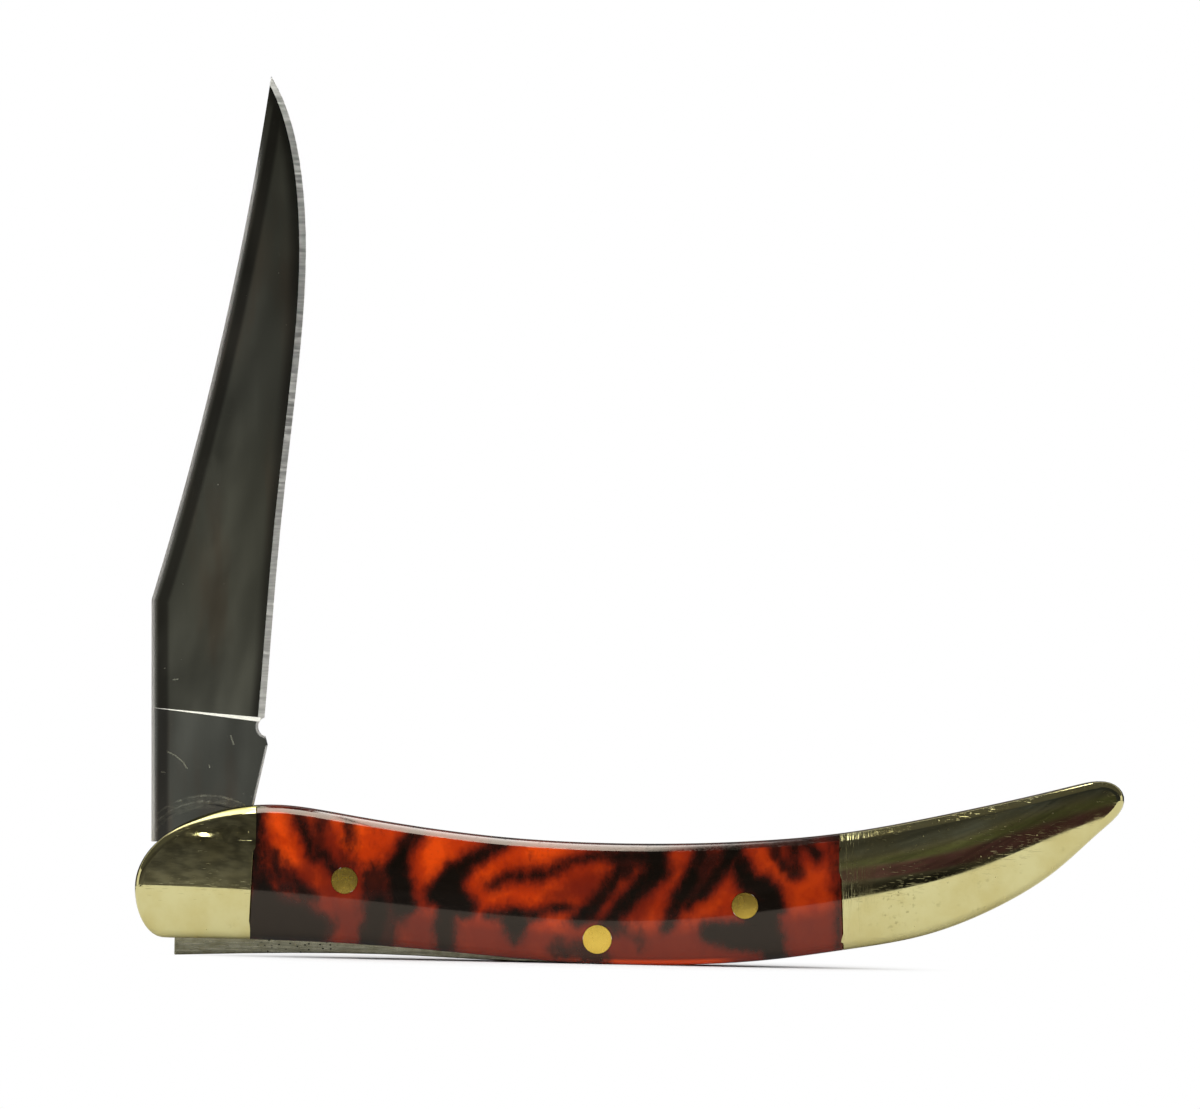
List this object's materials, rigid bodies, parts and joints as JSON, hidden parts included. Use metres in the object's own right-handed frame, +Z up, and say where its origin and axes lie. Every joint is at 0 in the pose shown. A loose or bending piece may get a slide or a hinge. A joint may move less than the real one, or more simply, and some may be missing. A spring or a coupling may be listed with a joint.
{
  "type": "folding pocket knife",
  "caption": "Slim swept folding pocket knife with a clip blade on a pivot pin, a steel back spring, metal bolsters and glossy scales pinned to brass liners.",
  "frame": {"origin": "on the surface that the knife stands on, below the middle of the closed handle's length", "axes": "+X along the handle to the tail, +Y across the handle to the side with the nail nick, +Z up from the back of the handle"},
  "size_m": [0.0762, 0.009, 0.0682],
  "materials": {
    "blade_steel": "mirror polished, with fine cross lines on the sharpened bevel",
    "spring_steel": "ground",
    "liner_brass": "ground",
    "bolster_metal": "polished, lightly scratched",
    "scale_plastic": "glossy tortoise pattern of orange, dark red and near black",
    "pin_brass": "polished"
  },
  "bodies": {
    "handle": {"back_spring": "spring_steel", "left_liner": "liner_brass", "right_liner": "liner_brass", "left_front_bolster": "bolster_metal", "right_front_bolster": "bolster_metal", "left_rear_bolster": "bolster_metal", "right_rear_bolster": "bolster_metal", "left_scale": "scale_plastic", "right_scale": "scale_plastic", "blade_pivot_pin": "bolster_metal", "spring_pin": "pin_brass", "tail_pin": "bolster_metal", "left_front_scale_pin": "pin_brass", "right_front_scale_pin": "pin_brass", "left_rear_scale_pin": "pin_brass", "right_rear_scale_pin": "pin_brass", "left_front_bolster_rivet": "bolster_metal", "right_front_bolster_rivet": "bolster_metal", "left_rear_bolster_rivet": "bolster_metal", "right_rear_bolster_rivet": "bolster_metal"},
    "blade": {"blade": "blade_steel"}
  },
  "joints": [
    {"name": "blade_pivot", "type": "hinge", "parent": "handle", "child": "blade", "pos_m": [-0.03265, 0, 0.0063], "axis": [0, 1, 0], "range_deg": [-88.8, 83], "deforming": ["back_spring"]}
  ]
}
